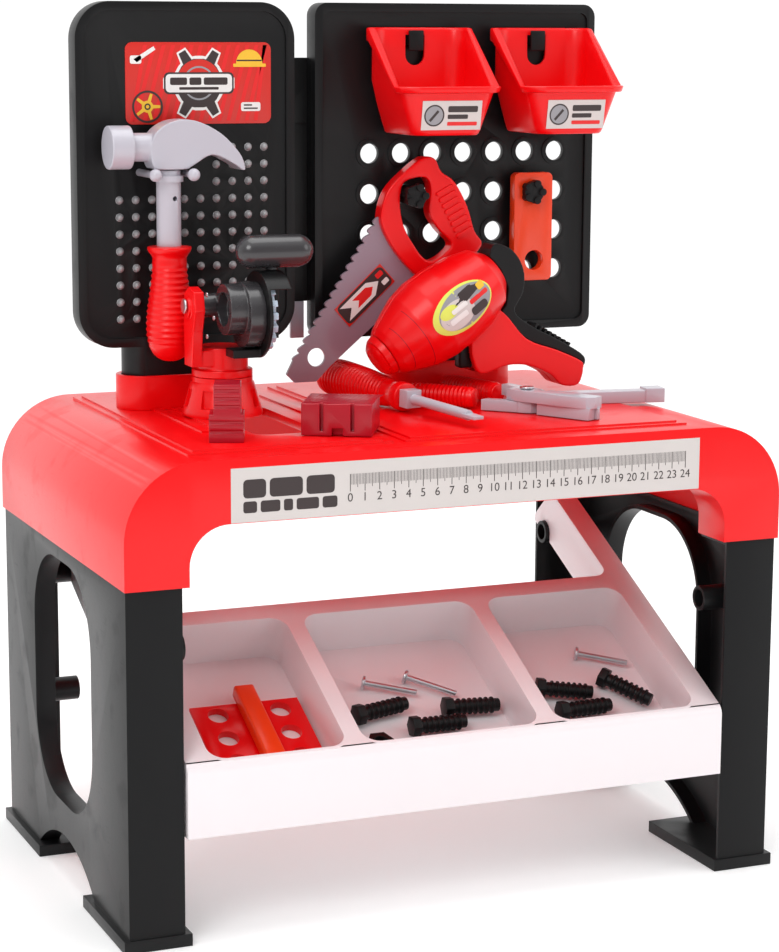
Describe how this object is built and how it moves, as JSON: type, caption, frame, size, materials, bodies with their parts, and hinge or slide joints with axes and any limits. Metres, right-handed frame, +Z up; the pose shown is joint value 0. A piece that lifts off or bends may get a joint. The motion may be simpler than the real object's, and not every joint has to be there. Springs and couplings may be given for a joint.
{
  "type": "toy workbench",
  "caption": "Child's toy workbench with a hollow worktop on channel legs, a tilted pocket tray, tool boards, hanging bins and play tools.",
  "frame": {"origin": "on the floor under the middle of the bench", "axes": "+Z up, +X to the right seen from the front, +Y towards the tool boards at the back"},
  "size_m": [0.4676, 0.2984, 0.5885],
  "materials": {
    "red_plastic": "glossy moulded red",
    "dark_red_plastic": "glossy dark red",
    "orange_plastic": "glossy orange red",
    "black_plastic": "glossy black",
    "matte_black": "satin black",
    "white_plastic": "satin white",
    "grey_plastic": "silver grey plastic",
    "silver_disc": "silver blue plastic",
    "mauve_blade": "metallic mauve plastic",
    "steel": "plain steel",
    "label": "printed film",
    "dark_label": "printed film"
  },
  "bodies": {
    "bench": {"worktop": "red_plastic", "board_sockets": "red_plastic", "ruler_label": "label", "left_leg": "black_plastic", "right_leg": "black_plastic", "leg_screws": "steel", "left_board": "black_plastic", "right_board": "black_plastic", "board_bridge": "black_plastic", "bridge_clip": "grey_plastic", "bridge_screws": "steel", "board_label": "dark_label", "bin_hooks": "matte_black", "hammer_pegs": "grey_plastic", "saw_stand": "red_plastic", "stepped_block": "dark_red_plastic"},
    "tray": {"tray": "white_plastic", "hole_plate": "dark_red_plastic", "orange_bar": "orange_plastic", "toy_bolts": "matte_black", "toy_nuts": "matte_black", "toy_nails": "steel", "toy_dowels": "white_plastic"},
    "left_bin": {"left_bin": "red_plastic", "left_bin_label": "label"},
    "right_bin": {"right_bin": "red_plastic", "right_bin_label": "label"},
    "hammer": {"hammer_head": "grey_plastic", "hammer_shaft": "grey_plastic", "hammer_handle": "red_plastic"},
    "handsaw": {"handsaw_blade": "mauve_blade", "handsaw_handle": "red_plastic", "handsaw_label": "dark_label"},
    "handsaw_screw": {"handsaw_screw": "matte_black"},
    "link_strip": {"link_strip": "orange_plastic"},
    "strip_screw": {"strip_screw": "matte_black"},
    "saw_turntable": {"saw_turntable": "red_plastic", "saw_pivot_pin": "steel"},
    "saw_arm": {"saw_motor": "black_plastic", "saw_guard": "black_plastic", "saw_knob": "black_plastic"},
    "saw_disc": {"saw_disc": "silver_disc", "saw_arbor": "steel"},
    "grooved_block": {"grooved_block": "dark_red_plastic"},
    "drill": {"drill_front_shell": "red_plastic", "drill_rear_shell": "red_plastic", "drill_grip": "black_plastic", "trigger_spring": "steel", "drill_label": "label", "drill_screws": "steel"},
    "drill_nose": {"drill_nose": "red_plastic"},
    "drill_trigger": {"drill_trigger": "black_plastic"},
    "screwdriver": {"screwdriver_handle": "red_plastic", "screwdriver_blade": "grey_plastic"},
    "pliers_lower": {"pliers_lower_half": "grey_plastic", "pliers_lower_grip": "red_plastic", "pliers_pin": "steel"},
    "pliers_upper": {"pliers_upper_half": "grey_plastic", "pliers_upper_grip": "red_plastic"},
    "wrench": {"wrench": "grey_plastic"}
  },
  "joints": [
    {"name": "tray_tilt", "type": "hinge", "parent": "bench", "child": "tray", "pos_m": [0, -0.122, 0.101], "axis": [1, 0, 0], "range_deg": [0, 8]},
    {"name": "left_bin_lift", "type": "slide", "parent": "bench", "child": "left_bin", "axis": [0, 0, 1], "range_m": [0, 0.013]},
    {"name": "right_bin_lift", "type": "slide", "parent": "bench", "child": "right_bin", "axis": [0, 0, 1], "range_m": [0, 0.013]},
    {"name": "hammer_lift", "type": "slide", "parent": "bench", "child": "hammer", "axis": [0, 0, 1], "range_m": [0, 0.04]},
    {"name": "handsaw_lift", "type": "slide", "parent": "bench", "child": "handsaw", "axis": [0, 0, 1], "range_m": [0, 0.01]},
    {"name": "handsaw_screw_turn", "type": "hinge", "parent": "bench", "child": "handsaw_screw", "pos_m": [0.0334, 0.03, 0.4569], "axis": [0, 1, 0], "continuous": true},
    {"name": "strip_swing", "type": "hinge", "parent": "bench", "child": "link_strip", "pos_m": [0.1294, 0.037, 0.4569], "axis": [0, 1, 0], "range_deg": [-25, 25]},
    {"name": "strip_screw_turn", "type": "hinge", "parent": "bench", "child": "strip_screw", "pos_m": [0.1294, 0.037, 0.4569], "axis": [0, 1, 0], "continuous": true},
    {"name": "saw_swivel", "type": "hinge", "parent": "bench", "child": "saw_turntable", "pos_m": [-0.115, 0.002, 0.35], "axis": [0, 0, 1], "range_deg": [0, 45]},
    {"name": "saw_chop", "type": "hinge", "parent": "saw_turntable", "child": "saw_arm", "pos_m": [-0.13, -0.006, 0.3894], "axis": [-1, 0, 0], "range_deg": [0, 30]},
    {"name": "saw_spin", "type": "hinge", "parent": "saw_arm", "child": "saw_disc", "pos_m": [-0.095, -0.024, 0.3844], "axis": [1, 0, 0], "continuous": true},
    {"name": "block_turn", "type": "hinge", "parent": "bench", "child": "grooved_block", "pos_m": [-0.075, -0.0885, 0.311], "axis": [0, 0, 1], "range_deg": [-15, 29]},
    {"name": "drill_lift", "type": "slide", "parent": "bench", "child": "drill", "axis": [0, 0, 1], "range_m": [0, 0.03]},
    {"name": "drill_nose_spin", "type": "hinge", "parent": "drill", "child": "drill_nose", "pos_m": [0.018, -0.008, 0.3636], "axis": [0.829, 0, 0.5592], "continuous": true},
    {"name": "drill_trigger_pull", "type": "slide", "parent": "drill", "child": "drill_trigger", "axis": [1, 0, 0], "range_m": [0, 0.004], "stiffness_N_per_m": 150, "deforming": ["trigger_spring"]},
    {"name": "screwdriver_slide", "type": "slide", "parent": "bench", "child": "screwdriver", "axis": [-0.2079, 0.9781, 0], "range_m": [0, 0.03]},
    {"name": "pliers_lift", "type": "slide", "parent": "bench", "child": "pliers_lower", "axis": [0, 0, 1], "range_m": [0, 0.003]},
    {"name": "pliers_open", "type": "hinge", "parent": "pliers_lower", "child": "pliers_upper", "pos_m": [0.084, -0.058, 0.3212], "axis": [0, 0, 1], "range_deg": [-12, 0]},
    {"name": "wrench_lift", "type": "slide", "parent": "bench", "child": "wrench", "axis": [0, 0, 1], "range_m": [0, 0.004]}
  ]
}
